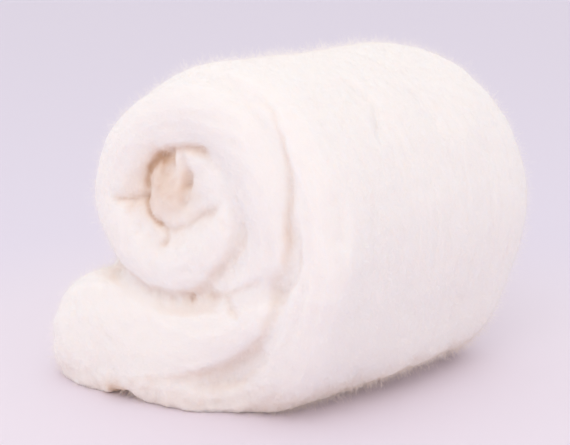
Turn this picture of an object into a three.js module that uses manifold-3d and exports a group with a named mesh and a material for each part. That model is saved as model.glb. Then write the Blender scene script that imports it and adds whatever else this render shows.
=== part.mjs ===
import * as THREE from 'three';
import { mergeVertices } from 'three/addons/utils/BufferGeometryUtils.js';
import Module from 'manifold-3d';

// A batt of carded wool, rolled up and lying on its side, with its free end loose on the ground.
// Millimetres, +Z up, +Y along the roll from its open spiral end to its far end.
// The tables below are measured from a point on the ground under the open end of the roll.
// The last lines move the whole batt so that its origin is at the bottom middle of its box.

const SAMPLE_LIMIT = 1e-3;
const QUARTER_TURN = Math.PI / 2;

// Outline of the roll across its axis, as the outer ply lies: a soft circle, flat on the ground.
// near and far are where that ply's two selvedges stand along the roll, and ply is its thickness.
const ROLL_OUTLINE = [
  { x: 96, z: 152, near: -14, far: 278, ply: 37 },
  { x: 85, z: 206, near: -10, far: 276, ply: 36 },
  { x: 52, z: 252, near: -8, far: 271, ply: 34 },
  { x: 4, z: 279, near: -7, far: 267, ply: 32 },
  { x: -48, z: 286, near: -6, far: 266, ply: 32 },
  { x: -100, z: 274, near: -8, far: 267, ply: 32 },
  { x: -142, z: 238, near: -12, far: 268, ply: 32 },
  { x: -166, z: 190, near: -14, far: 268, ply: 34 },
  { x: -172, z: 136, near: -15, far: 266, ply: 36 },
  { x: -158, z: 80, near: -18, far: 266, ply: 36 },
  { x: -130, z: 28, near: -26, far: 266, ply: 34 },
  { x: -92, z: -8, near: -33, far: 266, ply: 34 },
  { x: -40, z: -12, near: -26, far: 268, ply: 38 },
  { x: 12, z: -5, near: -13, far: 272, ply: 46 },
  { x: 57, z: 24, near: -13, far: 274, ply: 50 },
  { x: 86, z: 86, near: -15, far: 278, ply: 46 },
];
const OUTLINE_STEPS = 56;

// How each selvedge of the outer ply rounds over: deep is the distance from the selvedge inwards
// along the roll, and inset is how far the surface is drawn in there, as a share of the ply.
const NEAR_ROUND = [
  { deep: 24, inset: 1.4 },
  { deep: 6, inset: 1.02 },
  { deep: 0, inset: 0.7 },
  { deep: 3, inset: 0.36 },
  { deep: 11, inset: 0.13 },
  { deep: 24, inset: 0.03 },
];
const FAR_ROUND = [
  { deep: 52, inset: 0.04 },
  { deep: 32, inset: 0.13 },
  { deep: 15, inset: 0.34 },
  { deep: 4, inset: 0.64 },
  { deep: 0, inset: 0.95 },
  { deep: 26, inset: 1.45 },
];
const MIDDLE_SECTIONS = 10;

// Soft creases and bulges of the outer ply. around is the angle in degrees about the roll's
// middle, from +X over the top, along is the place on the roll, reach is in degrees, wide is along
// the roll and depth is inwards.
const ROLL_MIDDLE = { x: -38, z: 143 };
const SOFT_CREASES = [
  { around: 47, along: 88, reach: 17, wide: 11, depth: 3 },
  { around: 47, along: 154, reach: 13, wide: 11, depth: 2.4 },
  { around: 4, along: 14, reach: 13, wide: 24, depth: -3 },
  { around: -34, along: 118, reach: 22, wide: 34, depth: -2 },
  { around: 28, along: 216, reach: 16, wide: 18, depth: 2 },
  { around: 96, along: 128, reach: 24, wide: 26, depth: 1.6 },
  { around: 138, along: 70, reach: 20, wide: 20, depth: 3 },
  { around: 158, along: 176, reach: 26, wide: 26, depth: 2.6 },
  { around: 118, along: 226, reach: 16, wide: 22, depth: -2 },
];

// The wound sheet from the buckle at the lower right, over the top, down the left side and under
// the middle. x and z are the middle of its thickness, near and far are its two selvedges.
const OUTER_TURN = [
  { x: -26, z: 101, thick: 24, near: -20, far: 274 },
  { x: 0, z: 108, thick: 36, near: -22, far: 275 },
  { x: 20, z: 126, thick: 46, near: -22, far: 276 },
  { x: 31, z: 151, thick: 52, near: -23, far: 278 },
  { x: 31, z: 184, thick: 58, near: -25, far: 280 },
  { x: 14, z: 215, thick: 62, near: -25, far: 278 },
  { x: -14, z: 238, thick: 62, near: -25, far: 273 },
  { x: -52, z: 246, thick: 58, near: -28, far: 271 },
  { x: -88, z: 234, thick: 58, near: -36, far: 272 },
  { x: -116, z: 209, thick: 58, near: -43, far: 275 },
  { x: -128, z: 176, thick: 56, near: -47, far: 279 },
  { x: -114, z: 141, thick: 60, near: -46, far: 281 },
  { x: -84, z: 118, thick: 60, near: -41, far: 281 },
  { x: -56, z: 119, thick: 50, near: -28, far: 280 },
];

// The same sheet going on, up inside the outer turn, thinning towards its starting edge.
const INNER_TURN = [
  { x: -98, z: 119, thick: 46, near: -34, far: 272 },
  { x: -66, z: 120, thick: 60, near: -37, far: 276 },
  { x: -37, z: 131, thick: 56, near: -32, far: 278 },
  { x: -17, z: 150, thick: 48, near: -29, far: 278 },
  { x: -7, z: 173, thick: 36, near: -26, far: 277 },
  { x: -8, z: 196, thick: 24, near: -22, far: 276 },
  { x: -24, z: 214, thick: 16, near: -16, far: 274 },
];

// The small roll in the middle, the starting edge folded down beside it, and the fine turns
// pressed together behind them, each a straight roll with a low dome at its ends.
const CORE = { x: -66, z: 181, wide: 54, high: 52, near: -27, far: 280, dome: 8 };
const FOLDED_START = { x: -21, z: 190, wide: 50, high: 56, near: -24, far: 277, dome: 10 };
const PRESSED_TURNS = { x: -64, z: 180, wide: 112, high: 92, near: -9, far: 266, dome: 8 };
const CORE_AROUND = 24;
const CORE_DOME_STEPS = 4;

// The loose end, from its tip on the ground to the buckle under the roll.
const LOOSE_END = [
  { x: -208, z: 22, thick: 76, near: -56, far: 232 },
  { x: -184, z: 28, thick: 104, near: -64, far: 243 },
  { x: -150, z: 36, thick: 126, near: -64, far: 255 },
  { x: -112, z: 42, thick: 124, near: -55, far: 266 },
  { x: -74, z: 48, thick: 98, near: -46, far: 274 },
  { x: -36, z: 60, thick: 76, near: -37, far: 280 },
  { x: -2, z: 76, thick: 60, near: -31, far: 284 },
  { x: 28, z: 96, thick: 50, near: -25, far: 284 },
  { x: 48, z: 118, thick: 36, near: -14, far: 276 },
];

const SHEET_EDGE = 24;
const LOOSE_EDGE = 34;
const EDGE_STEPS = 6;
const STATION_SPACING = 12;
const TIP_STEPS = 4;

// The low arch that the loose end leaves over the ground beside the outer ply.
const ARCH = { x: -104, y: -36, wide: 17, deep: 38, high: 8 };
const ARCH_STEPS = 12;

const GROUND_SLAB = { across: 900, high: 500 };
const WOOL = { color: 0xf1eae4, roughness: 0.95, metalness: 0 };

const wasm = await Module();
wasm.setup();

// Joins rings of points, all of one length, into a skin; ends closes it with flat lids.
function skin(rings, ends) {
  const count = rings[0].length;
  const position = rings.flat().flatMap((point) => [point.x, point.y, point.z]);
  const index = [];
  for (let ring = 0; ring < rings.length - 1; ring += 1) {
    for (let step = 0; step < count; step += 1) {
      const next = (step + 1) % count;
      const low = ring * count;
      const high = low + count;
      index.push(low + step, high + step, low + next);
      index.push(low + next, high + step, high + next);
    }
  }
  if (ends) {
    const last = (rings.length - 1) * count;
    for (let step = 1; step < count - 1; step += 1) {
      index.push(0, step, step + 1);
      index.push(last, last + step + 1, last + step);
    }
  }
  const geometry = new THREE.BufferGeometry();
  geometry.setAttribute('position', new THREE.Float32BufferAttribute(position, 3));
  geometry.setIndex(index);
  return geometry;
}

function solidFrom(geometry) {
  geometry.deleteAttribute('normal');
  geometry.deleteAttribute('uv');
  const merged = mergeVertices(geometry, SAMPLE_LIMIT);
  const vertProperties = Float32Array.from(merged.attributes.position.array);
  const triVerts = Uint32Array.from(merged.index.array);
  return new wasm.Manifold(new wasm.Mesh({ numProp: 3, vertProperties, triVerts }));
}

function geometryFrom(solid) {
  const mesh = solid.getMesh();
  const geometry = new THREE.BufferGeometry();
  geometry.setAttribute('position', new THREE.BufferAttribute(mesh.vertProperties, 3));
  geometry.setIndex(new THREE.BufferAttribute(mesh.triVerts, 1));
  geometry.computeVertexNormals();
  return geometry;
}

// One closed section of the sheet: two round selvedges, with the flat faces between them.
function sheetSection(middle, side, half, near, far, edge) {
  const selvedges = [
    { start: near + edge, outward: -1 },
    { start: far - edge, outward: 1 },
  ];
  const points = [];
  for (const { start, outward } of selvedges) {
    for (let step = 0; step <= EDGE_STEPS; step += 1) {
      const angle = outward * QUARTER_TURN * (1 - (2 * step) / EDGE_STEPS);
      const point = middle.clone().addScaledVector(side, half * Math.sin(angle));
      point.y = start + outward * edge * Math.cos(angle);
      points.push(point);
    }
  }
  return points;
}

// Distances along a strip at which its sections stand, closer together at its round tips.
function stations(length, startRound, endRound) {
  const places = [];
  for (let step = 0; step < TIP_STEPS; step += 1) {
    places.push(startRound * (1 - Math.cos((step / TIP_STEPS) * QUARTER_TURN)));
  }
  const straight = length - startRound - endRound;
  const count = Math.max(1, Math.round(straight / STATION_SPACING));
  for (let step = 0; step <= count; step += 1) {
    places.push(startRound + (straight * step) / count);
  }
  for (let step = TIP_STEPS - 1; step >= 0; step -= 1) {
    places.push(length - endRound * (1 - Math.cos((step / TIP_STEPS) * QUARTER_TURN)));
  }
  return places;
}

// A strip of sheet that follows the middles in rows, with round tips and round selvedges.
function sheetStrip(rows, edge) {
  const middles = rows.map((row) => new THREE.Vector3(row.x, 0, row.z));
  const sizes = rows.map((row) => new THREE.Vector3(row.thick, row.near, row.far));
  const path = new THREE.CatmullRomCurve3(middles);
  const sizeAlong = new THREE.CatmullRomCurve3(sizes);
  const length = path.getLength();
  const startRound = rows[0].thick / 2;
  const endRound = rows[rows.length - 1].thick / 2;
  const rings = stations(length, startRound, endRound).map((place) => {
    const share = path.getUtoTmapping(place / length);
    const middle = path.getPoint(share);
    const size = sizeAlong.getPoint(share);
    const along = path.getTangent(share);
    const side = new THREE.Vector3(-along.z, 0, along.x);
    const startLeft = Math.max(0, 1 - place / startRound);
    const endLeft = Math.max(0, 1 - (length - place) / endRound);
    const left = Math.min(1, Math.max(startLeft, endLeft));
    const full = Math.sqrt(1 - left * left);
    const drawn = edge * (1 - full);
    return sheetSection(middle, side, (size.x / 2) * full, size.y + drawn, size.z - drawn, edge);
  });
  return solidFrom(skin(rings, false));
}

// The sections along the roll's body, in order from its near selvedge to its far one.
function rollSections() {
  const first = NEAR_ROUND[NEAR_ROUND.length - 1];
  const last = FAR_ROUND[0];
  const sections = NEAR_ROUND.map((row) => ({ share: 0, shift: row.deep, inset: row.inset }));
  for (let step = 1; step <= MIDDLE_SECTIONS; step += 1) {
    const share = step / (MIDDLE_SECTIONS + 1);
    const shift = THREE.MathUtils.lerp(first.deep, -last.deep, share);
    const inset = THREE.MathUtils.lerp(first.inset, last.inset, share);
    sections.push({ share, shift, inset });
  }
  return sections.concat(FAR_ROUND.map((row) => ({ share: 1, shift: -row.deep, inset: row.inset })));
}

// How far the soft creases draw the outer ply in at a point, in millimetres.
function creaseDepth(point) {
  const radians = Math.atan2(point.z - ROLL_MIDDLE.z, point.x - ROLL_MIDDLE.x);
  const around = THREE.MathUtils.radToDeg(radians);
  let depth = 0;
  for (const crease of SOFT_CREASES) {
    const aside = (around - crease.around) / crease.reach;
    const off = (point.y - crease.along) / crease.wide;
    depth += crease.depth * Math.exp(-aside * aside - off * off);
  }
  return depth;
}

// The roll's body with its outer ply, drawn in towards both ends.
function rollBody() {
  const corners = ROLL_OUTLINE.map((row) => new THREE.Vector3(row.x, 0, row.z));
  const plies = ROLL_OUTLINE.map((row) => new THREE.Vector3(row.near, row.far, row.ply));
  const outline = new THREE.CatmullRomCurve3(corners, true);
  const pliesAround = new THREE.CatmullRomCurve3(plies, true);
  const rings = rollSections().map((section) => {
    const ring = [];
    for (let step = 0; step < OUTLINE_STEPS; step += 1) {
      const share = step / OUTLINE_STEPS;
      const point = outline.getPoint(share);
      const along = outline.getTangent(share);
      const inward = new THREE.Vector3(-along.z, 0, along.x);
      const ply = pliesAround.getPoint(share);
      point.y = THREE.MathUtils.lerp(ply.x, ply.y, section.share) + section.shift;
      point.addScaledVector(inward, section.inset * ply.z + creaseDepth(point));
      ring.push(point);
    }
    return ring;
  });
  return solidFrom(skin(rings, true));
}

// A straight roll along Y with a low dome at each end.
function domedRoll(roll) {
  const straight = (roll.far - roll.near) / roll.dome - 2;
  const shape = new THREE.CapsuleGeometry(1, straight, CORE_DOME_STEPS, CORE_AROUND);
  shape.scale(roll.wide / 2, roll.dome, roll.high / 2);
  shape.translate(roll.x, (roll.near + roll.far) / 2, roll.z);
  return solidFrom(shape);
}

function archHollow() {
  const hollow = new THREE.SphereGeometry(1, ARCH_STEPS, ARCH_STEPS);
  hollow.scale(ARCH.wide, ARCH.deep, ARCH.high);
  hollow.translate(ARCH.x, ARCH.y, 0);
  return solidFrom(hollow);
}

function aboveGround() {
  const slab = new THREE.BoxGeometry(GROUND_SLAB.across, GROUND_SLAB.across, GROUND_SLAB.high);
  slab.translate(0, 0, GROUND_SLAB.high / 2);
  return solidFrom(slab);
}

function woolBatt() {
  let batt = rollBody();
  for (const rows of [OUTER_TURN, INNER_TURN]) {
    batt = batt.add(sheetStrip(rows, SHEET_EDGE));
  }
  for (const roll of [CORE, FOLDED_START, PRESSED_TURNS]) {
    batt = batt.add(domedRoll(roll));
  }
  batt = batt.add(sheetStrip(LOOSE_END, LOOSE_EDGE));
  return batt.subtract(archHollow()).intersect(aboveGround());
}

const geometry = geometryFrom(woolBatt());
geometry.computeBoundingBox();
const middle = geometry.boundingBox.getCenter(new THREE.Vector3());
geometry.translate(-middle.x, -middle.y, 0);

const batt = new THREE.Mesh(geometry, new THREE.MeshStandardMaterial(WOOL));
batt.name = 'wool_batt';

const model = new THREE.Group();
model.add(batt);

export default model;
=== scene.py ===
# %% [markdown]
# A rolled batt of carded wool, lying on its side with its free end loose.
# Carded wool is a thick, airy sheet of combed fibre. It has no weave and no seam: what the eye
# reads is the soft form, the warm creases between the turns, and a haze of loose fibres at every
# edge. This lesson takes the plain solid from the frame and turns it into wool in that order.

# %% Load the frame
import math
import bpy
import numpy as np
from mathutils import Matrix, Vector, bvhtree, noise


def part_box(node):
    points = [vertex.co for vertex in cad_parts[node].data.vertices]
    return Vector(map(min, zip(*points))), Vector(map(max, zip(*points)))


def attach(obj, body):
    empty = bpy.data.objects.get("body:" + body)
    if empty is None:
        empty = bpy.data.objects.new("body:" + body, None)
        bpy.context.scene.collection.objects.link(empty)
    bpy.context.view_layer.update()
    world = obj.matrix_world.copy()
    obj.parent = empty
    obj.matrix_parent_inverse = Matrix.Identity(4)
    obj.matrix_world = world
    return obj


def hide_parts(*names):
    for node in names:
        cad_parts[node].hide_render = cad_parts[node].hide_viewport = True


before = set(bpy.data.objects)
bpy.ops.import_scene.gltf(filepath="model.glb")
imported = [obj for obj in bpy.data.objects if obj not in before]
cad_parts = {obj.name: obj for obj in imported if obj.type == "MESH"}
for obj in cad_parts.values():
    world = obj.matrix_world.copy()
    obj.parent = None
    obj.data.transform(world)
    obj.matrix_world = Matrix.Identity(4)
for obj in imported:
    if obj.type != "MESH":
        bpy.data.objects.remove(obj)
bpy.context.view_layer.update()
cad_low, cad_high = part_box("wool_batt")
print("the solid reaches from", tuple(round(v, 3) for v in cad_low))
print("to", tuple(round(v, 3) for v in cad_high))

# %% [markdown]
# The camera comes first, so that every test render shows the view that matters. It stands a
# little over the height of the batt, at 45 degrees between the open end and the side, and looks
# slightly down, through a lens long enough to keep the roll's sides nearly parallel.

# %% Camera
CAMERA_PLACE = (0.8163, -0.8293, 0.425)
CAMERA_TURN = math.radians(45)
CAMERA_DIP = math.radians(14)
LENS_MM = 85
SENSOR_MM = 36

bpy.ops.object.select_all(action="DESELECT")
bpy.ops.object.camera_add(
    location=CAMERA_PLACE, rotation=(math.radians(90) - CAMERA_DIP, 0, CAMERA_TURN)
)
camera = bpy.context.object
camera.name = "camera"
camera.data.sensor_width = SENSOR_MM
camera.data.lens = LENS_MM
bpy.context.scene.camera = camera
print("camera at", CAMERA_PLACE, "with a lens of", LENS_MM, "mm")

# %% [markdown]
# The fleece starts as a copy of the frame's solid, whose loose facets are joined at their
# corners. Modifiers will do much of the work, so two helpers come first: one selects a single
# object, because an operator acts on all that is selected, and one adds and applies a modifier.

# %% Copy the solid
WELD = 0.00001


def only(piece):
    """Makes one object the selected and active one."""
    bpy.ops.object.select_all(action="DESELECT")
    piece.select_set(True)
    bpy.context.view_layer.objects.active = piece


def apply_modifier(piece, kind, **settings):
    """Adds a modifier with these settings and applies it at once."""
    only(piece)
    modifier = piece.modifiers.new(kind.lower(), kind)
    for key, value in settings.items():
        setattr(modifier, key, value)
    bpy.ops.object.modifier_apply(modifier=modifier.name)


fleece = bpy.data.objects.new("carded_fleece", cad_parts["wool_batt"].data.copy())
bpy.context.scene.collection.objects.link(fleece)
fleece.data.materials.clear()
only(fleece)
bpy.ops.object.mode_set(mode="EDIT")
bpy.ops.mesh.select_all(action="SELECT")
bpy.ops.mesh.remove_doubles(threshold=WELD)
bpy.ops.object.mode_set(mode="OBJECT")
print("the joined copy has", len(fleece.data.vertices), "points")

# %% [markdown]
# A voxel remesh turns the copy into one even skin of small quads, and a smooth modifier takes the
# facets away. A remesh suits wool because the batt is one mass of fibre: where two turns press
# together they should flow into each other, and a skin built turn by turn would show a hard line
# there. The hollow round the small roll is packed with loose fibre: a lying plug is joined in
# before the remesh, which makes one closed skin of both.

# %% Pack the middle and remesh
VOXEL = 0.00245
HALFWAY = 0.5
FACET_ROUNDS = 10
PLUG_MIDDLE = (-0.024, -0.042, 0.177)
PLUG_TURN = math.radians(14)
PLUG_RADIUS = 0.055
PLUG_LENGTH = 0.196
PLUG_SIDES = 48


def pack_with_plug(piece, middle, turn, radius, length):
    """Joins a lying plug of loose fibre to a mesh, to pack the gaps it reaches."""
    bpy.ops.object.select_all(action="DESELECT")
    bpy.ops.mesh.primitive_cylinder_add(
        vertices=PLUG_SIDES,
        radius=radius,
        depth=length,
        location=middle,
        rotation=(math.radians(90), 0, turn),
    )
    bpy.ops.object.transform_apply(location=True, rotation=True, scale=True)
    piece.select_set(True)
    bpy.context.view_layer.objects.active = piece
    bpy.ops.object.join()


pack_with_plug(fleece, PLUG_MIDDLE, PLUG_TURN, PLUG_RADIUS, PLUG_LENGTH)
apply_modifier(fleece, "REMESH", mode="VOXEL", voxel_size=VOXEL)
apply_modifier(fleece, "SMOOTH", factor=HALFWAY, iterations=FACET_ROUNDS)
print("fleece after the remesh:", len(fleece.data.polygons), "quads")

# %% [markdown]
# Wool is shaped by pressing and plucking, which here means moving many points a little. Helpers
# read all points or normals as one array and write them back, far faster than a loop over
# vertices. The last one gives each point's place on the roll: its angle about the roll's middle
# and its distance from it.

# %% Points as arrays
ROLL_MIDDLE = np.array((0.0175, 0.143))


def column(values, key, width):
    """One value of every item of a mesh list, as rows of this width."""
    flat = np.empty(len(values) * width)
    values.foreach_get(key, flat)
    return flat.reshape(-1, width)


def points_of(piece):
    """All points of a mesh, one row each."""
    return column(piece.data.vertices, "co", 3)


def normals_of(piece):
    """All point normals of a mesh, one row each."""
    return column(piece.data.vertices, "normal", 3)


def move_points(piece, points):
    """Puts the points back and updates the mesh."""
    piece.data.vertices.foreach_set("co", points.ravel())
    piece.data.update()


def on_the_roll(points):
    """Angle in degrees about the roll's middle, from +X over the top, and distance from it."""
    across = points[:, 0] - ROLL_MIDDLE[0]
    up = points[:, 2] - ROLL_MIDDLE[1]
    return np.degrees(np.arctan2(up, across)), np.hypot(across, up)


print("points to shape:", len(points_of(fleece)))

# %% [markdown]
# Loose wool fills every narrow gap: two turns that lie side by side swell until they touch, and
# only a line is left between them. The skin is moved out by a few millimetres, remeshed, which
# joins all that now overlaps, and moved back in by as much. Wide forms return to where they were,
# while gaps narrower than twice that step stay closed. Round the small roll in the middle, where
# the wool is loosest, the step is smaller, and the hollow stays. Pockets sealed inside go.

# %% Let the turns swell until they touch
CORE_MIDDLE = np.array((-0.017, 0.178))
CORE_REACH = 0.055
TOUCH_AT_THE_CORE = 0.0045
TOUCH_ELSEWHERE = 0.0065
SWOLLEN_ROUNDS = 3
TOUCH_ROUNDS = 20


def touch_step(points):
    """How far the skin swells at each point, less near the small roll in the middle."""
    away = np.linalg.norm(points[:, [0, 2]] - CORE_MIDDLE, axis=1)
    share = np.clip(away / CORE_REACH, 0, 1) ** 2
    return (TOUCH_AT_THE_CORE + (TOUCH_ELSEWHERE - TOUCH_AT_THE_CORE) * share)[:, None]


def largest_part(piece):
    """Deletes every loose part of a mesh but the one with the most points."""
    only(piece)
    bpy.ops.mesh.separate(type="LOOSE")
    parts = sorted(bpy.context.selected_objects, key=lambda part: -len(part.data.vertices))
    for part in parts[1:]:
        bpy.data.objects.remove(part)
    return parts[0]


points = points_of(fleece)
move_points(fleece, points + touch_step(points) * normals_of(fleece))
apply_modifier(fleece, "REMESH", mode="VOXEL", voxel_size=VOXEL)
fleece = largest_part(fleece)
fleece.name = "carded_fleece"
apply_modifier(fleece, "SMOOTH", factor=HALFWAY, iterations=SWOLLEN_ROUNDS)
points = points_of(fleece)
move_points(fleece, points - touch_step(points) * normals_of(fleece))
apply_modifier(fleece, "SMOOTH", factor=HALFWAY, iterations=TOUCH_ROUNDS)
print("fleece after the turns touch:", len(fleece.data.polygons), "quads")

# %% [markdown]
# A few soft regions are nudged, like clay under a thumb: each has a middle, a reach and a shift
# in metres. The left of the ring rolls inward, the middle sits back while the small roll in it
# rounds forward, the low corner by the open end is rounded off, the front edge spreads and
# bulges, and the mouth of the arch opens a little. Then the batt sags: the lowest centimetre or
# two sink, and what would go below the ground is laid flat on it.

# %% Nudge and sag
NUDGES = {
    "ring_rolls_inward": ((-0.050, -0.152, 0.184), 0.024, (0.009, 0.004, 0.000)),
    "middle_set_back": ((-0.012, -0.140, 0.180), 0.030, (0.000, 0.006, 0.000)),
    "small_roll_rounded": ((-0.014, -0.136, 0.179), 0.015, (0.000, -0.006, 0.000)),
    "crease_corner_moved": ((0.102, -0.122, 0.142), 0.027, (0.010, 0.000, 0.000)),
    "low_corner_rounded": ((0.084, -0.098, 0.000), 0.048, (-0.010, 0.009, 0.003)),
    "front_edge_spread": ((-0.040, -0.150, 0.006), 0.045, (0.000, -0.005, 0.000)),
    "front_edge_bulges": ((0.004, -0.138, 0.006), 0.034, (0.007, -0.008, 0.000)),
    "mouth_of_the_arch": ((-0.053, -0.151, 0.003), 0.014, (0.000, 0.005, 0.004)),
    "far_low_edge_spread": ((0.100, 0.040, 0.000), 0.060, (0.003, 0.000, -0.002)),
}
SAG = 0.0035
SAG_HEIGHT = 0.018

points = points_of(fleece)
for middle, reach, shift in NUDGES.values():
    near = np.exp(-((np.linalg.norm(points - middle, axis=1) / reach) ** 2))
    points += near[:, None] * shift
points[:, 2] -= SAG * np.exp(-points[:, 2] / SAG_HEIGHT)
points[:, 2] = np.maximum(points[:, 2], cad_low.z)
print("nudged:", ", ".join(NUDGES))

# %% [markdown]
# The low side of the roll curls under itself. At each place along the roll a slanting plane
# starts from a foot on the ground, and what lies below the plane is lifted onto it. A smooth
# maximum does that: far from the plane it picks the higher of the two heights, and near it the
# two blend, so that no edge shows.

# %% Tuck the low side under
TUCK_ALONG = (-0.100, -0.070, -0.030, 0.030, 0.130, 0.170)
TUCK_FOOT = (0.100, 0.0855, 0.0755, 0.0725, 0.0680, 0.0665)
TUCK_SLOPE = 0.58
TUCK_ROUND = 0.003

slant = TUCK_SLOPE * (points[:, 0] - np.interp(points[:, 1], TUCK_ALONG, TUCK_FOOT))
tucked = slant + TUCK_ROUND * np.logaddexp(0, (points[:, 2] - slant) / TUCK_ROUND)
print("tucked in by up to", round(float((tucked - points[:, 2]).max()) * 1000, 1), "mm")
points[:, 2] = tucked
move_points(fleece, points)

# %% [markdown]
# Where two turns of the roll press together, the real crease is deep and narrow. The remesh and
# the smoothing have rounded it, so the fleece is compared with a much softer copy of itself:
# wherever it lies below that copy, it is in a hollow, and it is pressed in further. Points on
# the ground stay there, since the batt is flat where it rests.

# %% Press the creases in
SOFTEN_ROUNDS = 24
CREASE_GAIN = 1.6
DEEPEST_PRESS = 0.0045
SWELL = 0.0014
GROUND_BAND = 0.004


def softened(piece, points, rounds):
    """The points after this many rounds of moving each halfway to the mean of its neighbours."""
    edges = column(piece.data.edges, "vertices", 2).astype(int)
    one = np.concatenate((edges[:, 0], edges[:, 1]))
    other = np.concatenate((edges[:, 1], edges[:, 0]))
    count = np.bincount(one, minlength=len(points))[:, None]
    soft = points.copy()
    for _ in range(rounds):
        total = np.stack(
            [np.bincount(one, soft[other, axis], len(points)) for axis in range(3)], axis=1
        )
        soft += HALFWAY * (total / count - soft)
    return soft


def off_the_ground(points):
    """0 for points that rest on the ground, rising to 1 a little above it."""
    return np.clip(points[:, 2:] / GROUND_BAND, 0, 1)


points = points_of(fleece)
normals = normals_of(fleece)
soft = softened(fleece, points, SOFTEN_ROUNDS)
hollow = -np.sum((points - soft) * normals, axis=1)
press = np.clip(CREASE_GAIN * hollow, 0, DEEPEST_PRESS)[:, None]
points += (SWELL - press) * normals * off_the_ground(points)
move_points(fleece, points)
print("deepest crease pressed in by", round(float(press.max()) * 1000, 1), "mm")

# %% [markdown]
# At the far end the solid's turns leave short slots, which look cut rather than rolled. The same
# softening, blended in over the last stretch of the roll, melts them into one domed face. One
# long spiral is pressed into that face further on.

# %% Soften the far end
FAR_SOFT_ROUNDS = 45
FAR_SOFT_FROM_Y = 0.135
FAR_SOFT_BAND = 0.015

points = points_of(fleece)
blend = np.clip((points[:, 1:2] - FAR_SOFT_FROM_Y) / FAR_SOFT_BAND, 0, 1)
points += blend * (softened(fleece, points, FAR_SOFT_ROUNDS) - points)
move_points(fleece, points)
print("points softened at the far end:", int((blend > 0).sum()))

# %% [markdown]
# A fine fold is a line that presses into the wool. It has a few corners, and how strongly it
# presses at a point depends on how far the point lies from it: fully on the line, and less and
# less over its width, as a bell curve. It also fades towards its two ends, as a real fold does.

# %% A line that presses in
FADE_SLOPE = 4
FADE_AT_THE_TIP = 0.35


def line_press(flat, corners, wide):
    """How strongly a drawn line presses at flat points, from 0 to 1, fading at its two ends."""
    corners = np.array(corners)
    steps = np.linalg.norm(np.diff(corners, axis=0), axis=1)
    length = steps.sum()
    best = np.zeros(len(flat))
    gone = 0.0
    for start, end, step in zip(corners[:-1], corners[1:], steps):
        share = np.clip((flat - start) @ (end - start) / step**2, 0, 1)
        away = np.linalg.norm(flat - start - share[:, None] * (end - start), axis=1)
        place = (gone + share * step) / length
        fade = np.clip(FADE_SLOPE * np.minimum(place, 1 - place) + FADE_AT_THE_TIP, 0, 1)
        best = np.maximum(best, fade * np.exp(-((away / wide) ** 2)))
        gone += step
    return best


test_press = line_press(np.zeros((1, 2)), [(-0.01, 0), (0.01, 0)], 0.004)
print("a line presses on its middle with a share of", float(test_press[0]))
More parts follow.
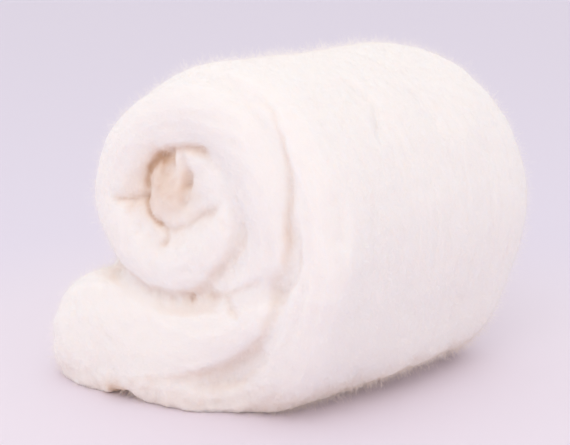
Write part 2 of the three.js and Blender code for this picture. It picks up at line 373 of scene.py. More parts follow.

# %% [markdown]
# Some folds are too fine for the solid: the puckers round the small roll in the middle, the curl
# in its face, the wrinkles of the loose end. Each line's corners were picked on a photograph of a
# batt, and followed through the camera onto the fleece, which gave their x and z as seen from the
# open end. They were rounded, and some were shifted after test renders. Each line has a width, a
# depth and a share of painted crease shade.

# %% Lines on the open end
# Width, depth, share of painted shade, then the corners as x and z.
END_CREASES = {
    "gap_over_the_core": (
        0.0040, 0.0046, 0.70,
        [(-0.010, 0.214), (-0.022, 0.209), (-0.031, 0.200), (-0.035, 0.189), (-0.035, 0.178)],
    ),
    "gap_beside_the_core": (
        0.0034, 0.0024, 0.65,
        [(-0.035, 0.180), (-0.035, 0.172), (-0.031, 0.163), (-0.024, 0.156), (-0.014, 0.152)],
    ),
    "ring_falls_to_the_gap": (
        0.0160, 0.0028, 0.32,
        [(-0.014, 0.216), (-0.032, 0.203), (-0.041, 0.188), (-0.042, 0.174), (-0.036, 0.162)],
    ),
    "pocket_over_the_core": (
        0.0100, 0.0040, 0.62,
        [(-0.024, 0.206), (-0.013, 0.208), (-0.004, 0.210)],
    ),
    "over_the_fold": (
        0.0045, 0.0040, 0.50,
        [(-0.016, 0.212), (-0.004, 0.219), (0.011, 0.222), (0.022, 0.221), (0.032, 0.217)],
    ),
    "edge_of_the_fold": (
        0.0042, 0.0026, 0.25,
        [(0.001, 0.217), (0.006, 0.206), (0.009, 0.196), (0.008, 0.189)],
    ),
    "curl_of_the_core": (
        0.0042, 0.0026, 0.32,
        [(0.004, 0.194), (0.007, 0.189), (0.007, 0.180), (0.003, 0.172)],
    ),
    "under_the_core": (
        0.0040, 0.0026, 0.30,
        [(-0.022, 0.158), (-0.014, 0.153), (-0.005, 0.152), (0.008, 0.157), (0.019, 0.166),
         (0.036, 0.174), (0.048, 0.181)],
    ),
    "pucker_at_the_left": (
        0.0040, 0.0032, 0.40,
        [(-0.033, 0.177), (-0.043, 0.174), (-0.052, 0.172), (-0.064, 0.172)],
    ),
    "soft_pucker_at_the_left": (0.0120, 0.0018, 0.12, [(-0.044, 0.173), (-0.066, 0.172)]),
    "pucker_below": (
        0.0036, 0.0022, 0.40,
        [(-0.022, 0.157), (-0.015, 0.151), (-0.012, 0.145), (-0.016, 0.137)],
    ),
    "soft_pucker_below": (0.0120, 0.0014, 0.12, [(-0.020, 0.150), (-0.014, 0.136)]),
    # Painted shade only, with no depth: the face of the fold is darkened.
    "painted_shade_on_the_fold": (0.0160, 0.0000, 0.14, [(0.020, 0.208), (0.030, 0.196), (0.036, 0.184)]),
    "hollow_at_the_curl": (0.0045, 0.0030, 0.36, [(0.008, 0.202), (0.008, 0.194), (0.006, 0.187)]),
    "beside_the_fold": (0.0060, 0.0012, 0.08, [(0.032, 0.217), (0.044, 0.208), (0.054, 0.194)]),
    "edge_of_the_bump": (
        0.0050, 0.0014, 0.12,
        [(-0.042, 0.156), (-0.038, 0.150), (-0.036, 0.143)],
    ),
    "right_of_the_inner_ring": (
        0.0048, 0.0016, 0.18,
        [(0.068, 0.172), (0.069, 0.158), (0.063, 0.146), (0.053, 0.134), (0.039, 0.120),
         (0.028, 0.109)],
    ),
    "under_the_inner_ring": (
        0.0045, 0.0016, 0.16,
        [(0.028, 0.109), (0.015, 0.099), (-0.008, 0.094), (-0.030, 0.095), (-0.055, 0.106)],
    ),
    "pocket_under_the_ring": (0.0055, 0.0020, 0.35, [(0.014, 0.098), (0.006, 0.094)]),
    "rim_of_the_outer_ply": (
        0.0036, 0.0020, 0.22,
        [(0.060, 0.272), (0.084, 0.259), (0.099, 0.240), (0.110, 0.216), (0.114, 0.197),
         (0.114, 0.178), (0.116, 0.158), (0.112, 0.138)],
    ),
    "pocket_at_the_buckle": (
        0.0050, 0.0008, 0.14,
        [(0.110, 0.140), (0.104, 0.131), (0.096, 0.126)],
    ),
    "over_the_loose_end": (
        0.0042, 0.0022, 0.20,
        [(0.096, 0.128), (0.082, 0.121), (0.064, 0.113), (0.042, 0.104), (0.018, 0.096)],
    ),
    # Painted shade only, with no depth: warm dark shade in the mouth of the arch.
    "painted_shade_in_the_arch": (0.0090, 0.0, 0.45, [(-0.064, 0.004), (-0.052, 0.006), (-0.040, 0.003)]),
    "wrinkle_of_the_loose_end": (
        0.0045, 0.0020, 0.20,
        [(0.048, 0.106), (0.058, 0.097), (0.070, 0.093)],
    ),
    "under_the_loose_end": (
        0.0050, 0.0020, 0.20,
        [(0.101, 0.124), (0.101, 0.100), (0.091, 0.079), (0.072, 0.060), (0.047, 0.043),
         (0.018, 0.031), (-0.024, 0.023)],
    ),
}
print("lines on the open end:", len(END_CREASES))

# %% [markdown]
# Every point of the open end that faces the front is pressed in along its normal by each line in
# turn. The strongest painted shade of all lines is kept in an array for the finish. The hollow round
# the small roll gets a round patch of painted shade as well, because all of it lies in warm shade,
# lines or not.

# %% Press the lines into the open end
HOLLOW_MIDDLE = np.array((-0.014, 0.184))
HOLLOW_REACH = 0.032
HOLLOW_PAINTED_SHADE = 0.58
END_REACH_Y = -0.075
END_FACING = 0.25


def near_the_hollow(points):
    """1 at the middle of the hollow round the small roll, falling to 0 outside it."""
    away = np.linalg.norm(points[:, [0, 2]] - HOLLOW_MIDDLE, axis=1)
    return np.exp(-((away / HOLLOW_REACH) ** 2))


normals = normals_of(fleece)
facing = np.clip((END_FACING - normals[:, 1]) / END_FACING, 0, 1) * (points[:, 1] < END_REACH_Y)
# Painted shade: a warm dark patch over the whole hollow round the small roll.
drawn = HOLLOW_PAINTED_SHADE * near_the_hollow(points) * facing
for wide, depth, line_shade, corners in END_CREASES.values():
    share = line_press(points[:, [0, 2]], corners, wide) * facing
    drawn = np.maximum(drawn, line_shade * share)
    points -= depth * share[:, None] * normals * off_the_ground(points)
move_points(fleece, points)
print("points tinted on the open end:", int((drawn > 0.1).sum()))

# %% [markdown]
# The far end gets a single line in the same way: the spiral in which the sheet winds from the
# middle outwards. It isn't seen from the front, so it is kept plain.

# %% Press a spiral into the far end
FAR_SPIRAL = (
    0.0050, 0.0042, 0.25,
    [(0.022, 0.176), (0.012, 0.160), (-0.008, 0.151), (-0.026, 0.158), (-0.036, 0.176),
     (-0.035, 0.198), (-0.020, 0.214), (0.004, 0.224), (0.032, 0.218), (0.056, 0.200),
     (0.068, 0.175), (0.068, 0.148), (0.054, 0.122), (0.030, 0.102), (0.000, 0.092),
     (-0.035, 0.092), (-0.062, 0.103)],
)

wide, depth, line_shade, corners = FAR_SPIRAL
facing = np.clip(normals[:, 1] / END_FACING - 1, 0, 1) * (points[:, 1] > -END_REACH_Y)
share = line_press(points[:, [0, 2]], corners, wide) * facing
# The spiral's painted shade joins that of the open end's lines.
drawn = np.maximum(drawn, line_shade * share)
points -= depth * share[:, None] * normals
move_points(fleece, points)
print("the spiral of the far end has", len(corners), "corners")

# %% [markdown]
# The outer ply shows soft steps where the layers under it end, a bulge where it turns round the
# buckle, and dents. They lie on the round of the roll, so each has an angle about the roll's
# middle and a place along it. A negative depth is a bulge.

# %% Dents and steps of the outer ply
PLY_CREASES = {
    "first_step": (0.005, 0.0026, [(64, -0.022), (58, -0.017), (52, -0.016), (45, -0.023), (38, -0.034)]),
    "second_step": (0.006, 0.0022, [(59, 0.040), (53, 0.043), (48, 0.045), (40, 0.044)]),
    "faint_step": (0.007, 0.001, [(31, 0.083), (25, 0.101)]),
    "valley_by_the_rim": (0.008, 0.0025, [(26, -0.104), (14, -0.102), (6, -0.106)]),
    "ridge_by_the_rim": (0.014, -0.0014, [(8, -0.092), (-2, -0.104), (-16, -0.112)]),
    "bulge_at_the_buckle": (0.024, -0.0014, [(-8, -0.112), (-20, -0.104)]),
    "top_dent": (0.020, 0.002, [(92, -0.010), (104, 0.004)]),
    "back_fold": (0.010, 0.003, [(150, -0.060), (160, -0.020), (154, 0.030)]),
    "back_step": (0.007, 0.002, [(128, 0.060), (140, 0.066), (152, 0.090)]),
}
ROLL_RADIUS = 0.137
PLY_FROM_Y = -0.128
PLY_INNER_RADIUS = 0.085
PLY_BAND = 0.02

points = points_of(fleece)
normals = normals_of(fleece)
around, away = on_the_roll(points)
on_ply = (points[:, 1] > PLY_FROM_Y) * np.clip((away - PLY_INNER_RADIUS) / PLY_BAND, 0, 1)
unrolled = np.stack((np.radians(around) * ROLL_RADIUS, points[:, 1]), axis=1)
for wide, depth, corners in PLY_CREASES.values():
    flat = [(math.radians(angle) * ROLL_RADIUS, along) for angle, along in corners]
    pressed = depth * line_press(unrolled, flat, wide) * on_ply
    points -= pressed[:, None] * normals * off_the_ground(points)
move_points(fleece, points)
print("drawn on the outer ply:", len(PLY_CREASES), "creases")

# %% [markdown]
# A batt is uneven everywhere: wide soft waves, lumps, tufts, and streaks where the card has
# combed the fibre along the sheet. Smooth noise gives all four. The streaks are noise read in
# stretched coordinates, long round the roll and narrow along it or away from its middle.

# %% Noise in lumps and streaks
SEED_STEP = (7.1, 3.7, 5.3)
FACES_ALONG = 0.6


def lumps(points, size, seed):
    """Smooth noise from about -1 to 1 at each point, with lumps of this size."""
    shift = Vector([seed * step for step in SEED_STEP])
    return np.array([noise.noise(Vector(point) / size + shift) for point in points])


def streaks(points, normals, length, width, seed):
    """Noise drawn out round the roll: long along the combed fibre and narrow across it."""
    around, away = on_the_roll(points)
    turn = np.radians(around)
    across = np.where(np.abs(normals[:, 1]) > FACES_ALONG, away, points[:, 1])
    stretch = ROLL_RADIUS / length
    combed = np.stack((np.cos(turn) * stretch, np.sin(turn) * stretch, across / width), axis=1)
    return lumps(combed, 1.0, seed)


print("noise at the roll's middle:", round(float(lumps(np.zeros((1, 3)), 1.0, 1)[0]), 3))

# %% [markdown]
# Each pair is a size and a height in metres. Low down, where the batt has rubbed on the surface
# it lies on, coarser tufts are added, and on the ground they move the edge sideways only, so that
# its outline is uneven while it stays flat. The hollow in the middle gets small tufts of its own.

# %% Lumps, tufts and combed streaks
LUMPS = ((0.060, 0.0022), (0.024, 0.0010), (0.010, 0.0005))
STREAK_LENGTH = 0.055
STREAK_WIDTH = 0.0065
STREAK_DEPTH = 0.0009
STREAK_SEED = 11
RUBBED_TUFTS = ((0.024, 0.0024), (0.013, 0.0020), (0.0065, 0.0016))
RUBBED_HEIGHT = 0.050
RUBBED_SEED = 12
CORE_TUFTS = (0.0060, 0.0007)
CORE_TUFT_GAIN = 2
CORE_SEED = 15

points = points_of(fleece)
normals = normals_of(fleece)
rise = sum(depth * lumps(points, size, seed) for seed, (size, depth) in enumerate(LUMPS))
rise += STREAK_DEPTH * streaks(points, normals, STREAK_LENGTH, STREAK_WIDTH, STREAK_SEED)
rubbed = np.clip(1 - points[:, 2] / RUBBED_HEIGHT, 0, 1)
for seed, (size, depth) in enumerate(RUBBED_TUFTS, start=RUBBED_SEED):
    rise += depth * lumps(points, size, seed) * rubbed
in_the_core = drawn * near_the_hollow(points)
core_size, core_depth = CORE_TUFTS
rise += core_depth * lumps(points, core_size, CORE_SEED) * np.clip(CORE_TUFT_GAIN * in_the_core, 0, 1)
shift = rise[:, None] * normals
shift[:, 2:] *= off_the_ground(points)
points += shift
points[:, 2] = np.maximum(points[:, 2], cad_low.z)
move_points(fleece, points)
only(fleece)
bpy.ops.object.shade_smooth()
print("lumps raise and lower the fleece by up to", round(float(abs(rise).max()) * 1000, 1), "mm")

# %% [markdown]
# Creases in cream wool look darker and warm, not grey: less light gets in, and what does get in
# bounces many times between fibres, and each bounce takes a little blue away. That shade is
# painted into the colour. To find where, every point sends about twenty rays into the open half
# around its normal. A ray that hits wool close by counts as one, and one that hits the ground as
# half, because the pale ground sends light back. The share is softened a little, the painted
# shade of the drawn lines is added, and the sum is stored on the mesh as an attribute.

# %% Measure how closed in each point is
SKY_RAYS = 22
SKY_REACH = 0.055
GROUND_SHARE = 0.5
SKY_START = 0.0008
SHUT_ROUNDS = 2
ANY_WAY = (0.3, 0.8, 0.52)


def even_directions(count):
    """Directions over a half sphere about +Z, wound in a spiral and denser towards the pole."""
    steps = np.arange(count)
    turn = steps * math.pi * (3 - math.sqrt(5))
    flat = np.sqrt((steps + 0.5) / count)
    return np.stack((flat * np.cos(turn), flat * np.sin(turn), np.sqrt(1 - flat**2)), axis=1)


def shut_in(piece, points, normals):
    """The share of rays from each point that hit the piece, or by half the ground, within reach."""
    piece.data.calc_loop_triangles()
    corners = column(piece.data.loop_triangles, "vertices", 3).astype(int)
    tree = bvhtree.BVHTree.FromPolygons(points.tolist(), corners.tolist())
    side = np.cross(normals, ANY_WAY)
    side /= np.linalg.norm(side, axis=1)[:, None]
    other = np.cross(normals, side)
    hits = np.zeros(len(points))
    starts = [Vector(start) for start in points + SKY_START * normals]
    for a, b, c in even_directions(SKY_RAYS):
        ways = a * side + b * other + c * normals
        for index, (start, way) in enumerate(zip(starts, ways)):
            if tree.ray_cast(start, way, SKY_REACH)[0] is not None:
                hits[index] += 1
            elif start.z + SKY_REACH * way[2] < cad_low.z:
                hits[index] += GROUND_SHARE
    return hits / SKY_RAYS


points = points_of(fleece)
normals = normals_of(fleece)
shut = shut_in(fleece, points, normals)
shut = softened(fleece, np.repeat(shut[:, None], 3, axis=1), SHUT_ROUNDS)[:, 0]
# The sum drives the painted crease shade in the wool's colour ramp.
shut = np.clip(shut + drawn, 0, 1)
stored = fleece.data.attributes.new("shut_in", "FLOAT", "POINT")
stored.data.foreach_set("value", shut)
print("most closed-in point:", round(float(shut.max()), 2), "mean:", round(float(shut.mean()), 3))

# %% [markdown]
# No smooth skin looks like wool. What tells is the haze of single fibres that stand off it, most
# of all where the outline meets the background. Each fibre starts from a root on the skin. Roots
# are picked at random, evenly by area, from a generator with a set seed, so that every run gives
# the same ones. A chance function may thin them out in some places. Each root also keeps how shut
# in the skin is there.

# %% Pick the roots


def pick_roots(piece, chance, count, rng):
    """Random places on the skin, their normals and how shut in they are. chance weighs them."""
    piece.data.calc_loop_triangles()
    corners = column(piece.data.loop_triangles, "vertices", 3).astype(int)
    points = points_of(piece)
    normals = normals_of(piece)
    one, two, three = (points[corners[:, corner]] for corner in range(3))
    area = np.linalg.norm(np.cross(two - one, three - one), axis=1)
    weight = area * chance((one + two + three) / 3)
    picked = corners[rng.choice(len(corners), count, p=weight / weight.sum())]
    parts = rng.dirichlet((1, 1, 1), count)
    places = np.einsum("ij,ijk->ik", parts, points[picked])
    upright = np.einsum("ij,ijk->ik", parts, normals[picked])
    return places, upright / np.linalg.norm(upright, axis=1)[:, None], shut[picked[:, 0]]


# %% [markdown]
# The card combs all fibres one way, and rolling bends that way round the roll. So a fibre runs
# along the skin and round the roll, either way, and strays from that by a random angle.

# %% Comb the fibres round the roll
LEAST_WAY = 1e-9


def combed_ways(places, upright, spread, rng):
    """Directions along the skin, round the roll give or take the spread in radians."""
    around, _ = on_the_roll(places)
    turn = np.radians(around)
    round_roll = np.stack((-np.sin(turn), np.zeros(len(turn)), np.cos(turn)), axis=1)
    along = round_roll - np.sum(round_roll * upright, axis=1)[:, None] * upright
    along /= np.linalg.norm(along, axis=1)[:, None] + LEAST_WAY
    side = np.cross(upright, along)
    bend = (rng.normal(0, spread, len(places)) + math.pi * rng.integers(0, 2, len(places)))[:, None]
    return np.cos(bend) * along + np.sin(bend) * side


# %% [markdown]
# A fibre is a thin bent spindle with three sides and two pointed ends, so that it is closed, with
# few faces. All spindles of a patch are made at once as arrays: rings of three points round each
# path, a point at each end, and the same pattern of triangles for each.

# %% Spindles along paths
FIBRE_SIDES = 3
LEAST_LENGTH = 1e-12
SPINDLE_WAY = (0.21, 0.35, 0.91)


def spindles(paths, thick):
    """Points and triangles of three-sided spindles along paths, an array of fibre, step, xyz."""
    count, steps, _ = paths.shape
    heading = np.gradient(paths, axis=1)
    heading /= np.linalg.norm(heading, axis=2)[:, :, None] + LEAST_LENGTH
    side = np.cross(heading, SPINDLE_WAY)
    side /= np.linalg.norm(side, axis=2)[:, :, None] + LEAST_LENGTH
    other = np.cross(heading, side)
    share = np.linspace(0, 1, steps)
    girth = 0.5 * thick[:, None, None] * np.sqrt(np.sin(np.pi * share))[None, :, None]
    rings = [
        paths + girth * (math.cos(turn) * side + math.sin(turn) * other)
        for turn in np.arange(FIBRE_SIDES) * math.tau / FIBRE_SIDES
    ]
    inner = np.stack(rings, axis=2)[:, 1:-1].reshape(count, -1, 3)
    verts = np.concatenate((paths[:, :1], inner, paths[:, -1:]), axis=1)
    faces = []
    last = (steps - 2) * FIBRE_SIDES + 1
    for corner in range(FIBRE_SIDES):
        following = (corner + 1) % FIBRE_SIDES
        faces.append((0, 1 + following, 1 + corner))
        faces.append((last, last - FIBRE_SIDES + corner, last - FIBRE_SIDES + following))
        for ring in range(steps - 3):
            low = 1 + ring * FIBRE_SIDES
            high = low + FIBRE_SIDES
            faces.append((low + corner, low + following, high + following))
            faces.append((low + corner, high + following, high + corner))
    first = (np.arange(count) * verts.shape[1])[:, None, None]
    return verts.reshape(-1, 3), (np.array(faces)[None] + first).reshape(-1, 3)


# %% [markdown]
# Each patch of fibres becomes one mesh. Half of its fibres have a free end, which lifts off the
# skin, and half are loops that dive back in. The fibres are shaded flat: smooth normals on so
# few sides turn away from the light and leave dark grains. Every fibre carries its root's value,
# so that it has the colour and the painted crease shade of the wool it grows from.

# %% Make a patch of fibres
ROOT_SINK = 0.0006
LENGTH_RANGE = (0.45, 1.3)
LIFT_RANGE = (0.15, 3.2)
THICK_RANGE = (0.6, 1.2)
WAVE_SHARE = 0.5
WAVE_RANGE = (0.3, 1)
WAVES = 1.3
LOOP_SHARE = 0.5
TIP_BEND = 1.4
GROUND_ROOM = 0.0003


def mesh_of(name, verts, faces):
    """A flat-shaded mesh of these points and triangles."""
    mesh = bpy.data.meshes.new(name)
    mesh.vertices.add(len(verts))
    mesh.vertices.foreach_set("co", verts.ravel())
    mesh.loops.add(faces.size)
    mesh.loops.foreach_set("vertex_index", faces.ravel())
    mesh.polygons.add(len(faces))
    mesh.polygons.foreach_set("loop_start", np.arange(len(faces)) * 3)
    mesh.polygons.foreach_set("use_smooth", np.zeros(len(faces), bool))
    mesh.update(calc_edges=True)
    mesh.validate()
    return mesh


def comb_out(name, count, chance, steps, length, lift, thick, curl, spread, seed):
    """Makes one mesh of loose fibres. length, lift, thick and curl are in metres."""
    rng = np.random.default_rng(seed)
    places, upright, root_shut = pick_roots(fleece, chance, count, rng)
    ways = combed_ways(places, upright, spread, rng)
    sides = np.cross(upright, ways)
    long = (length * rng.uniform(*LENGTH_RANGE, count))[:, None, None]
    high = (lift * rng.exponential(1.0, count).clip(*LIFT_RANGE))[:, None, None]
    bow = (curl * rng.normal(0, 1, count))[:, None, None]
    wave = (WAVE_SHARE * curl * rng.uniform(*WAVE_RANGE, count))[:, None, None]
    phase = rng.uniform(0, math.tau, count)[:, None, None]
    share = np.linspace(0, 1, steps)[None, :, None]
    loop = rng.random(count)[:, None, None] < LOOP_SHARE
    rise = np.where(loop, np.sin(np.pi * share), share**TIP_BEND) * high - ROOT_SINK * (1 - share)
    rise = np.where(loop, rise - ROOT_SINK * share, rise)
    drift = bow * share**2 + wave * (np.sin(math.tau * WAVES * share + phase) - np.sin(phase))
    paths = places[:, None] + share * long * ways[:, None]
    paths = paths + rise * upright[:, None] + drift * sides[:, None]
    paths[:, :, 2] = np.maximum(paths[:, :, 2], cad_low.z + GROUND_ROOM)
    verts, faces = spindles(paths, thick * rng.uniform(*THICK_RANGE, count))
    mesh = mesh_of(name, verts, faces)
    # Each fibre takes the painted crease shade of its root.
    stored = mesh.attributes.new("shut_in", "FLOAT", "POINT")
    stored.data.foreach_set("value", np.repeat(root_shut, len(verts) // count))
    piece = bpy.data.objects.new(name, mesh)
    bpy.context.scene.collection.objects.link(piece)
    print(name, "has", count, "fibres and", len(faces), "triangles")
    return piece


# %% [markdown]
# Three patches make the haze. Each stands off a little further than the one before, and strays
# more from the combed direction, so that no even layer shows. One more patch roughens the low
# rim, where the batt has rubbed, and a few long hairs with more steps stray from it all.

# %% Comb out five patches
BARE_BELOW = 0.002
RIM_START = 1.25
RIM_HEIGHT = 0.05


def everywhere(places):
    """The same chance all over the skin, but none underneath."""
    return np.where(places[:, 2] < BARE_BELOW, 0.0, 1.0)


def low_rim(places):
    """The lowest few centimetres all round."""
    return np.clip(RIM_START - places[:, 2] / RIM_HEIGHT, 0, 1) * everywhere(places)


PATCHES = {
    "haze_of_fibres": {
        "count": 33000, "chance": everywhere, "steps": 3, "length": 0.0085, "lift": 0.0024,
        "thick": 0.00011, "curl": 0.0010, "spread": 0.45, "seed": 1,
    },
    "second_haze": {
        "count": 33000, "chance": everywhere, "steps": 3, "length": 0.0075, "lift": 0.0030,
        "thick": 0.00011, "curl": 0.0010, "spread": 0.7, "seed": 2,
    },
    "third_haze": {
        "count": 33000, "chance": everywhere, "steps": 3, "length": 0.0085, "lift": 0.0040,
        "thick": 0.00010, "curl": 0.0014, "spread": 0.8, "seed": 6,
    },
    "fibres_of_the_low_rim": {
        "count": 16000, "chance": low_rim, "steps": 3, "length": 0.006, "lift": 0.0028,
        "thick": 0.00013, "curl": 0.0014, "spread": 1.4, "seed": 4,
    },
    "long_stray_hairs": {
        "count": 1500, "chance": everywhere, "steps": 8, "length": 0.020, "lift": 0.0028,
        "thick": 0.00011, "curl": 0.0050, "spread": 0.8, "seed": 5,
    },
}

fibres = []
fibres = [comb_out(name, **settings) for name, settings in PATCHES.items()]
print("patches of fibres:", len(fibres))

# %% [markdown]
# Wool is matt, but not flat: it scatters light inside, its fibres catch light at grazing angles,
# and its colour drifts a little from tuft to tuft. The fleece and the fibres share one colour, so
# it is a node group: the stored attribute, plus a little noise on Object coordinates, runs
# through a ramp from open wool over warm painted shade to the darker painted shade of the creases.

# %% The colour of wool, with painted crease shade
# The first colour is the wool's own; the warm one and the crease one are painted shade for closed-in
# places.
OPEN_WOOL = (0.896, 0.848, 0.822, 1)
WARM_PAINTED_SHADE = (0.850, 0.740, 0.665, 1)
CREASE_PAINTED_SHADE = (0.660, 0.450, 0.310, 1)
OPEN_UP_TO = 0.12
WARM_AT = 0.50
CREASE_FROM = 0.90


def wool_and_painted_shade_group():
    """A node group: wool colour and painted crease shade, from how shut in it is and where it lies."""
    group = bpy.data.node_groups.new("wool_and_painted_shade", "ShaderNodeTree")
    group.interface.new_socket("Shut In", in_out="INPUT", socket_type="NodeSocketFloat")
    group.interface.new_socket("Place", in_out="INPUT", socket_type="NodeSocketVector")
    group.interface.new_socket("Color", in_out="OUTPUT", socket_type="NodeSocketColor")
    nodes, links = group.nodes, group.links
    given = nodes.new("NodeGroupInput")
    result = nodes.new("NodeGroupOutput")
    ramp = nodes.new("ShaderNodeValToRGB")
    ramp.color_ramp.elements[0].position = OPEN_UP_TO
    ramp.color_ramp.elements[0].color = OPEN_WOOL
    ramp.color_ramp.elements[1].position = CREASE_FROM
    ramp.color_ramp.elements[1].color = CREASE_PAINTED_SHADE
    ramp.color_ramp.elements.new(WARM_AT).color = WARM_PAINTED_SHADE
    drift = nodes.new("ShaderNodeTexNoise")
    drift.inputs["Scale"].default_value = 28
    drift.inputs["Detail"].default_value = 3
    spread = nodes.new("ShaderNodeMapRange")
    spread.inputs["From Min"].default_value = 0.3
    spread.inputs["From Max"].default_value = 0.7
    spread.inputs["To Min"].default_value = -0.05
    spread.inputs["To Max"].default_value = 0.05
    total = nodes.new("ShaderNodeMath")
    total.operation = "ADD"
    links.new(given.outputs["Place"], drift.inputs["Vector"])
    links.new(drift.outputs["Fac"], spread.inputs["Value"])
    links.new(given.outputs["Shut In"], total.inputs[0])
    links.new(spread.outputs["Result"], total.inputs[1])
    links.new(total.outputs["Value"], ramp.inputs["Fac"])
    links.new(ramp.outputs["Color"], result.inputs["Color"])
    return group


tone = wool_and_painted_shade_group()
print(tone.name, "has", len(tone.nodes), "nodes")

# %% [markdown]
# The skin between the fibres is a felt, too fine to model, so it is a bump. The combed streaks
# are noise on a circle about the roll's middle: the direction from the middle gives two
# coordinates, the place along the roll the third and the distance from the middle the fourth.
# That makes them long round the roll and narrow the other ways. Fine plain noise adds the fuzz.

# %% The felt of fine fibres
STREAKS_PER_METRE = 55
STREAK_SHARE = 0.55


def fibre_felt_group():
    """A node group: the height of fine fibres on the skin, as combed streaks and short fuzz."""
    group = bpy.data.node_groups.new("fibre_felt", "ShaderNodeTree")
    group.interface.new_socket("Place", in_out="INPUT", socket_type="NodeSocketVector")
    group.interface.new_socket("Height", in_out="OUTPUT", socket_type="NodeSocketFloat")
    nodes, links = group.nodes, group.links
    given = nodes.new("NodeGroupInput")
    result = nodes.new("NodeGroupOutput")
    centre = nodes.new("ShaderNodeVectorMath")
    centre.operation = "SUBTRACT"
    centre.inputs[1].default_value = (ROLL_MIDDLE[0], 0, ROLL_MIDDLE[1])
    parts = nodes.new("ShaderNodeSeparateXYZ")
    flat = nodes.new("ShaderNodeCombineXYZ")
    length = nodes.new("ShaderNodeVectorMath")
    length.operation = "LENGTH"
    turn = nodes.new("ShaderNodeVectorMath")
    turn.operation = "NORMALIZE"
    turn_parts = nodes.new("ShaderNodeSeparateXYZ")
    narrow = nodes.new("ShaderNodeMath")
    narrow.operation = "MULTIPLY"
    narrow.inputs[1].default_value = STREAKS_PER_METRE
    away = nodes.new("ShaderNodeMath")
    away.operation = "MULTIPLY"
    away.inputs[1].default_value = STREAKS_PER_METRE
    along = nodes.new("ShaderNodeCombineXYZ")
    streak = nodes.new("ShaderNodeTexNoise")
    streak.noise_dimensions = "4D"
    streak.inputs["Scale"].default_value = 9
    streak.inputs["Detail"].default_value = 4
    streak.inputs["Roughness"].default_value = 0.6
    fuzz = nodes.new("ShaderNodeTexNoise")
    fuzz.inputs["Scale"].default_value = 420
    fuzz.inputs["Detail"].default_value = 3
    both = nodes.new("ShaderNodeMath")
    both.operation = "MULTIPLY_ADD"
    both.inputs[1].default_value = STREAK_SHARE
    links.new(given.outputs["Place"], centre.inputs[0])
    links.new(centre.outputs["Vector"], parts.inputs["Vector"])
    links.new(parts.outputs["X"], flat.inputs["X"])
    links.new(parts.outputs["Z"], flat.inputs["Z"])
    links.new(flat.outputs["Vector"], length.inputs[0])
    links.new(flat.outputs["Vector"], turn.inputs[0])
    links.new(turn.outputs["Vector"], turn_parts.inputs["Vector"])
    links.new(parts.outputs["Y"], narrow.inputs[0])
    links.new(turn_parts.outputs["X"], along.inputs["X"])
    links.new(turn_parts.outputs["Z"], along.inputs["Z"])
    links.new(narrow.outputs["Value"], along.inputs["Y"])
    links.new(along.outputs["Vector"], streak.inputs["Vector"])
    links.new(length.outputs["Value"], away.inputs[0])
    links.new(away.outputs["Value"], streak.inputs["W"])
    links.new(given.outputs["Place"], fuzz.inputs["Vector"])
    links.new(streak.outputs["Fac"], both.inputs[0])
    links.new(fuzz.outputs["Fac"], both.inputs[2])
    links.new(both.outputs["Value"], result.inputs["Height"])
    return group


felt = fibre_felt_group()
print(felt.name, "has", len(felt.nodes), "nodes")

# %% [markdown]
# Two materials place the groups. The fleece lets light in deep with subsurface scattering, and
# has a soft sheen and the felt as its bump. The single fibres are too thin for that: they get a
# faint glow of their own colour, which stands for the light that shines through them. Numbers
# that are the same all over stand on the shader's own sockets.

# %% Wool finish


def wool_material(name, tone):
    """Matt wool in the tone and painted crease shade that the stored attribute and the place give.
    Returns its parts too.
    """
    material = bpy.data.materials.new(name)
    material.use_nodes = True
    nodes, links = material.node_tree.nodes, material.node_tree.links
    shader = nodes["Principled BSDF"]
    shader.inputs["Roughness"].default_value = 0.95
    shader.inputs["Specular IOR Level"].default_value = 0.15
    place = nodes.new("ShaderNodeTexCoord")
    shut = nodes.new("ShaderNodeAttribute")
    shut.attribute_name = "shut_in"
    colour = nodes.new("ShaderNodeGroup")
    colour.node_tree = tone
    links.new(place.outputs["Object"], colour.inputs["Place"])
    links.new(shut.outputs["Fac"], colour.inputs["Shut In"])
    links.new(colour.outputs["Color"], shader.inputs["Base Color"])
    return material, shader, place, colour


def fleece_material(tone, felt):
    """The mass of the wool: light goes in deep, and a felt of fine fibres is a bump."""
    material, shader, place, _ = wool_material("carded_wool_fleece", tone)
    shader.inputs["Sheen Weight"].default_value = 0.25
    shader.inputs["Sheen Roughness"].default_value = 0.6
    shader.inputs["Subsurface Weight"].default_value = 0.9
    shader.inputs["Subsurface Radius"].default_value = (1.0, 0.9, 0.8)
    shader.inputs["Subsurface Scale"].default_value = 0.008
    nodes, links = material.node_tree.nodes, material.node_tree.links
    height = nodes.new("ShaderNodeGroup")
    height.node_tree = felt
    bump = nodes.new("ShaderNodeBump")
    bump.inputs["Strength"].default_value = 0.42
    bump.inputs["Distance"].default_value = 0.0009
    links.new(place.outputs["Object"], height.inputs["Place"])
    links.new(height.outputs["Height"], bump.inputs["Height"])
    links.new(bump.outputs["Normal"], shader.inputs["Normal"])
    return material


def fibre_material(tone):
    """Single fibres. A faint glow stands for the light that shines through them."""
    material, shader, _, colour = wool_material("single_wool_fibres", tone)
    links = material.node_tree.links
    links.new(colour.outputs["Color"], shader.inputs["Emission Color"])
    shader.inputs["Emission Strength"].default_value = 0.05
    return material


fleece.data.materials.append(fleece_material(tone, felt))
single = fibre_material(tone)
for piece in fibres:
    piece.data.materials.append(single)
print("finishes:", [material.name for material in bpy.data.materials if material.users])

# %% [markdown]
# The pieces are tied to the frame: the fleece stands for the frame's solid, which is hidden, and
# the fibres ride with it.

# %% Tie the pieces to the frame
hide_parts("wool_batt")
for piece in [fleece, *fibres]:
    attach(piece, "root")
print("tied to the frame:", 1 + len(fibres), "pieces")

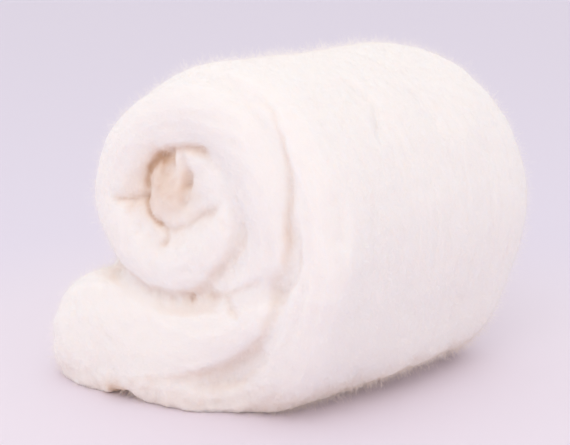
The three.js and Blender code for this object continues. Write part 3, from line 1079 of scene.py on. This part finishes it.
# %% [markdown]
# White wool needs a floor a little cooler than itself, so that its outline reads. The floor's
# colour also deepens slightly away from the batt, by the distance from the middle.

# %% Floor
FLOOR_RADIUS = 6
FLOOR_SIDES = 96
FLOOR_NEAR = (0.830, 0.755, 0.835, 1)
FLOOR_FAR = (0.780, 0.720, 0.830, 1)
FLOOR_DROP = 0.0002

bpy.ops.object.select_all(action="DESELECT")
bpy.ops.mesh.primitive_circle_add(
    vertices=FLOOR_SIDES, radius=FLOOR_RADIUS, fill_type="NGON", location=(0, 0, -FLOOR_DROP)
)
floor = bpy.context.object
floor.name = "pale_floor"
pale = bpy.data.materials.new("pale_floor")
pale.use_nodes = True
nodes, links = pale.node_tree.nodes, pale.node_tree.links
place = nodes.new("ShaderNodeTexCoord")
distance = nodes.new("ShaderNodeVectorMath")
distance.operation = "LENGTH"
fade = nodes.new("ShaderNodeMapRange")
fade.interpolation_type = "SMOOTHSTEP"
fade.inputs["From Min"].default_value = 0.25
fade.inputs["From Max"].default_value = 0.60
shade = nodes.new("ShaderNodeMix")
shade.data_type = "RGBA"
shade.inputs["A"].default_value = FLOOR_NEAR
shade.inputs["B"].default_value = FLOOR_FAR
links.new(place.outputs["Object"], distance.inputs[0])
links.new(distance.outputs["Value"], fade.inputs["Value"])
links.new(fade.outputs["Result"], shade.inputs["Factor"])
links.new(shade.outputs["Result"], nodes["Principled BSDF"].inputs["Base Color"])
nodes["Principled BSDF"].inputs["Roughness"].default_value = 0.7
floor.data.materials.append(pale)
print("floor:", FLOOR_RADIUS, "m in radius")

# %% [markdown]
# Wool looks soft only in soft light that comes from nearly everywhere: a bright studio sky, and
# one large soft box above and in front, on the camera's side, for the gentle shading.

# %% Light and sky
SKY_COLOUR = (1.0, 0.985, 1.0, 1)
SKY_STRENGTH = 0.905
BOX_PLACE = (1.3, -1.8, 2.1)
BOX_AIM = (0, 0, 0.1)
BOX_SIZE = 1.8
BOX_POWER = 20
BOX_COLOUR = (1.0, 0.99, 0.975)

world = bpy.data.worlds.new("studio_sky")
bpy.context.scene.world = world
world.use_nodes = True
world.node_tree.nodes["Background"].inputs["Color"].default_value = SKY_COLOUR
world.node_tree.nodes["Background"].inputs["Strength"].default_value = SKY_STRENGTH


def soft_box(name, place, aim, size, power, colour):
    """Adds a square soft box that looks at a point."""
    bpy.ops.object.select_all(action="DESELECT")
    bpy.ops.object.light_add(type="AREA", location=place)
    light = bpy.context.object
    light.name = name
    light.data.shape = "SQUARE"
    light.data.size = size
    light.data.energy = power
    light.data.color = colour
    light.rotation_euler = (Vector(aim) - Vector(place)).to_track_quat("-Z", "Y").to_euler()
    return light


box = soft_box("soft_box_above", BOX_PLACE, BOX_AIM, BOX_SIZE, BOX_POWER, BOX_COLOUR)
bpy.context.scene.view_settings.view_transform = "Standard"
print(box.name, "gives", box.data.energy, "W under a sky of strength", SKY_STRENGTH)
